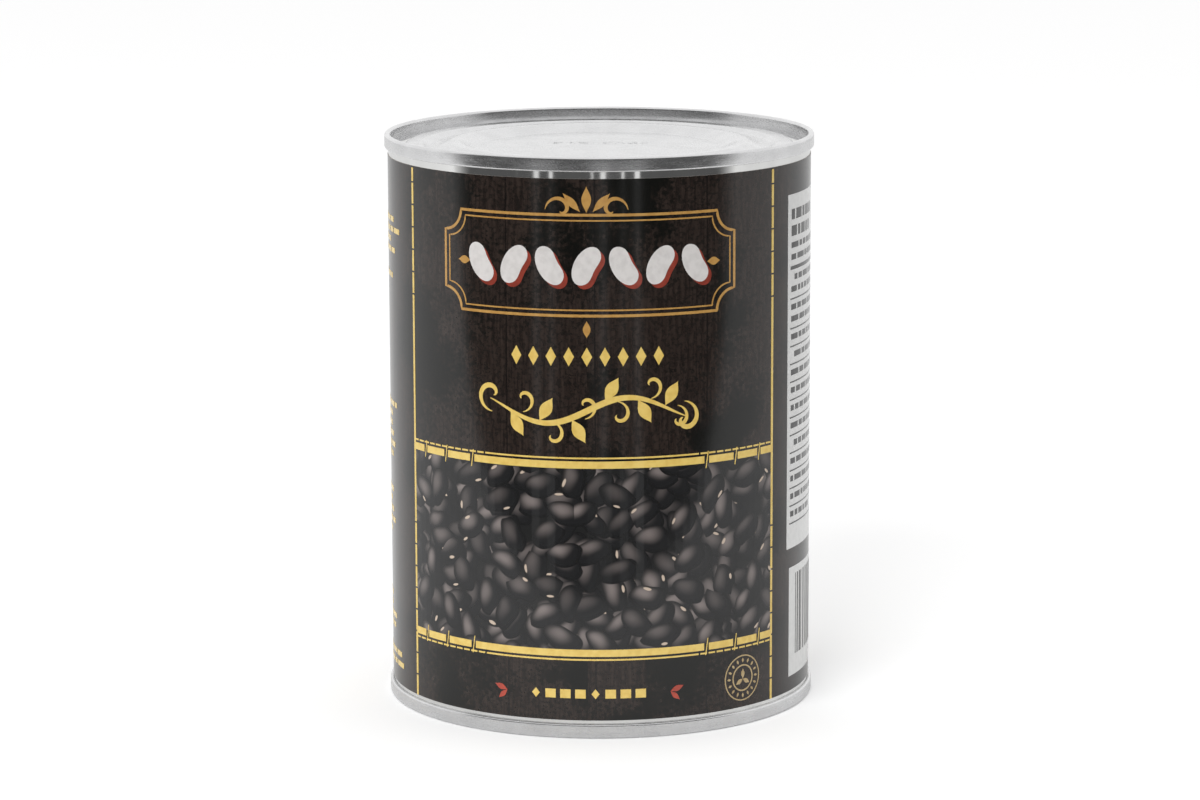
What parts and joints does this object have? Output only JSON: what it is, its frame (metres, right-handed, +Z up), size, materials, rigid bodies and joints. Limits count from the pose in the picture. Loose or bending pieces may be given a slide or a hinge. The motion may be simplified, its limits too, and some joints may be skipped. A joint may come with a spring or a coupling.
{
  "type": "canned beans",
  "caption": "Shut tinplate food can of beans with double-seamed ends, pressed ring panels and a dark glossy wrap-round paper label.",
  "frame": {"origin": "middle of the underside, on the plane that the bottom seam rests on", "axes": "+Z up along the can's axis, -Y towards the front panel of the label"},
  "size_m": [0.0873, 0.0872, 0.1159],
  "materials": {
    "tinplate_wall": "bright tinplate",
    "tinplate_end": "bright tinplate, fine rolled grain",
    "printed_paper": "glossy varnished print"
  },
  "bodies": {
    "root": {"can_body": "tinplate_wall", "top_end": "tinplate_end", "bottom_end": "tinplate_end", "paper_label": "printed_paper"}
  },
  "joints": []
}
